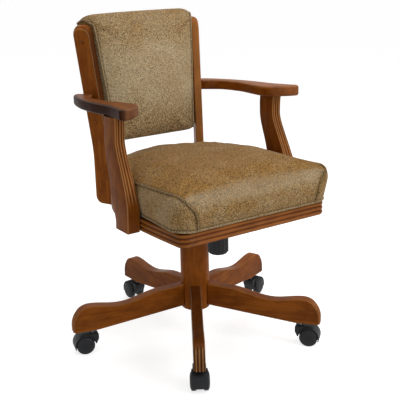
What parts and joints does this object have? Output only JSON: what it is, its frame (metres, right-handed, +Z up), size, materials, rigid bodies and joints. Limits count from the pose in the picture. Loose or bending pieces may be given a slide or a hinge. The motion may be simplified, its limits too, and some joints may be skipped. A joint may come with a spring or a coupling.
{
  "type": "swivel arm chair",
  "caption": "Wood-framed swivel game-room arm chair with chenille seat and back cushions, tilt and gas lift, on a star base with twin-wheel casters.",
  "frame": {"origin": "on the floor, on the axis of the column", "axes": "+Z up, the chair faces -Y and the sitter's left hand is at +X"},
  "size_m": [0.7092, 0.6909, 0.922],
  "materials": {
    "stained_hardwood": "amber-brown stain under a satin lacquer",
    "chenille": "speckled khaki and brown chenille",
    "plywood": "bare plywood",
    "bright_steel": "bright zinc-plated steel",
    "black_steel": "black enamel",
    "black_nylon": "satin black nylon"
  },
  "bodies": {
    "base": {"base_column": "stained_hardwood", "base_leg_1": "stained_hardwood", "base_leg_2": "stained_hardwood", "base_leg_3": "stained_hardwood", "base_leg_4": "stained_hardwood", "base_leg_5": "stained_hardwood", "stand_tube": "black_steel", "guide_bush": "black_nylon"},
    "spindle": {"gas_rod": "bright_steel", "thrust_washer": "bright_steel", "rod_clip": "bright_steel"},
    "carriage": {"gas_cylinder": "black_steel", "tilt_housing": "black_steel", "tilt_pin": "bright_steel"},
    "valve": {"valve_pin": "bright_steel"},
    "lever": {"lift_lever": "black_nylon"},
    "knob": {"tension_knob": "black_nylon"},
    "caster_1": {"caster_hood_1": "black_nylon", "caster_axle_1": "bright_steel"},
    "wheel_1_right": {"caster_wheel_1_right": "black_nylon"},
    "wheel_1_left": {"caster_wheel_1_left": "black_nylon"},
    "caster_2": {"caster_hood_2": "black_nylon", "caster_axle_2": "bright_steel"},
    "wheel_2_right": {"caster_wheel_2_right": "black_nylon"},
    "wheel_2_left": {"caster_wheel_2_left": "black_nylon"},
    "caster_3": {"caster_hood_3": "black_nylon", "caster_axle_3": "bright_steel"},
    "wheel_3_right": {"caster_wheel_3_right": "black_nylon"},
    "wheel_3_left": {"caster_wheel_3_left": "black_nylon"},
    "caster_4": {"caster_hood_4": "black_nylon", "caster_axle_4": "bright_steel"},
    "wheel_4_right": {"caster_wheel_4_right": "black_nylon"},
    "wheel_4_left": {"caster_wheel_4_left": "black_nylon"},
    "caster_5": {"caster_hood_5": "black_nylon", "caster_axle_5": "bright_steel"},
    "wheel_5_right": {"caster_wheel_5_right": "black_nylon"},
    "wheel_5_left": {"caster_wheel_5_left": "black_nylon"},
    "seat": {"arm_left": "stained_hardwood", "arm_post_left": "stained_hardwood", "arm_post_right": "stained_hardwood", "arm_right": "stained_hardwood", "back_board": "plywood", "back_cushion": "chenille", "back_panel": "chenille", "back_stile_left": "stained_hardwood", "back_stile_right": "stained_hardwood", "seat_board": "plywood", "seat_cushion": "chenille", "seat_plate": "black_steel", "seat_rail_front": "stained_hardwood", "seat_rail_left": "stained_hardwood", "seat_rail_rear": "stained_hardwood", "seat_rail_right": "stained_hardwood", "stile_plug_left_lower": "stained_hardwood", "stile_plug_left_upper": "stained_hardwood", "stile_plug_right_lower": "stained_hardwood", "stile_plug_right_upper": "stained_hardwood", "tension_bolt": "bright_steel", "tension_spring": "bright_steel"}
  },
  "joints": [
    {"name": "seat_swivel", "type": "hinge", "parent": "base", "child": "spindle", "pos_m": [0, 0, 0.085], "axis": [0, 0, 1], "continuous": true},
    {"name": "seat_lift", "type": "slide", "parent": "spindle", "child": "carriage", "axis": [0, 0, 1], "range_m": [0, 0.07]},
    {"name": "lift_lever", "type": "hinge", "parent": "carriage", "child": "lever", "pos_m": [-0.0335, 0, 0.3865], "axis": [0, 1, 0], "range_deg": [0, 5], "stiffness_Nm_per_rad": 0.6, "springref_deg": -4.58},
    {"name": "valve_press", "type": "slide", "parent": "carriage", "child": "valve", "axis": [0, 0, -1], "range_m": [0, 0.0036]},
    {"name": "seat_tilt", "type": "hinge", "parent": "carriage", "child": "seat", "pos_m": [0, -0.045, 0.399], "axis": [-1, 0, 0], "range_deg": [0, 12], "stiffness_Nm_per_rad": 90, "springref_deg": -22.92, "deforming": ["tension_spring"]},
    {"name": "tension_knob", "type": "hinge", "parent": "seat", "child": "knob", "pos_m": [0, -0.121, 0.287], "axis": [0, 0, 1], "range_deg": [-720, 720]},
    {"name": "caster_swivel_1", "type": "hinge", "parent": "base", "child": "caster_1", "pos_m": [-0.16587, -0.26544, 0.0571], "axis": [0, 0, 1], "continuous": true},
    {"name": "wheel_roll_1_right", "type": "hinge", "parent": "caster_1", "child": "wheel_1_right", "pos_m": [-0.19385, -0.27625, 0.026], "axis": [0.848, -0.5299, 0], "continuous": true},
    {"name": "wheel_roll_1_left", "type": "hinge", "parent": "caster_1", "child": "wheel_1_left", "pos_m": [-0.16332, -0.29533, 0.026], "axis": [0.848, -0.5299, 0], "continuous": true},
    {"name": "caster_swivel_2", "type": "hinge", "parent": "base", "child": "caster_2", "pos_m": [0.20119, -0.23977, 0.0571], "axis": [0, 0, 1], "continuous": true},
    {"name": "wheel_roll_2_right", "type": "hinge", "parent": "caster_2", "child": "wheel_2_right", "pos_m": [0.20283, -0.26973, 0.026], "axis": [0.766, 0.6428, 0], "continuous": true},
    {"name": "wheel_roll_2_left", "type": "hinge", "parent": "caster_2", "child": "wheel_2_left", "pos_m": [0.23041, -0.24659, 0.026], "axis": [0.766, 0.6428, 0], "continuous": true},
    {"name": "caster_swivel_3", "type": "hinge", "parent": "base", "child": "caster_3", "pos_m": [0.29021, 0.11725, 0.0571], "axis": [0, 0, 1], "continuous": true},
    {"name": "wheel_roll_3_right", "type": "hinge", "parent": "caster_3", "child": "wheel_3_right", "pos_m": [0.3192, 0.10955, 0.026], "axis": [-0.3746, 0.9272, 0], "continuous": true},
    {"name": "wheel_roll_3_left", "type": "hinge", "parent": "caster_3", "child": "wheel_3_left", "pos_m": [0.30572, 0.14293, 0.026], "axis": [-0.3746, 0.9272, 0], "continuous": true},
    {"name": "caster_swivel_4", "type": "hinge", "parent": "base", "child": "caster_4", "pos_m": [-0.02183, 0.31224, 0.0571], "axis": [0, 0, 1], "continuous": true},
    {"name": "wheel_roll_4_right", "type": "hinge", "parent": "caster_4", "child": "wheel_4_right", "pos_m": [-0.00555, 0.33743, 0.026], "axis": [-0.9976, -0.0698, 0], "continuous": true},
    {"name": "wheel_roll_4_left", "type": "hinge", "parent": "caster_4", "child": "wheel_4_left", "pos_m": [-0.04146, 0.33492, 0.026], "axis": [-0.9976, -0.0698, 0], "continuous": true},
    {"name": "caster_swivel_5", "type": "hinge", "parent": "base", "child": "caster_5", "pos_m": [-0.3037, 0.07572, 0.0571], "axis": [0, 0, 1], "continuous": true},
    {"name": "wheel_roll_5_right", "type": "hinge", "parent": "caster_5", "child": "wheel_5_right", "pos_m": [-0.32264, 0.09899, 0.026], "axis": [-0.2419, -0.9703, 0], "continuous": true},
    {"name": "wheel_roll_5_left", "type": "hinge", "parent": "caster_5", "child": "wheel_5_left", "pos_m": [-0.33134, 0.06406, 0.026], "axis": [-0.2419, -0.9703, 0], "continuous": true}
  ],
  "couplings": [
    {"joint": "valve_press", "follows": "lift_lever", "m_per_rad": 0.0365}
  ]
}
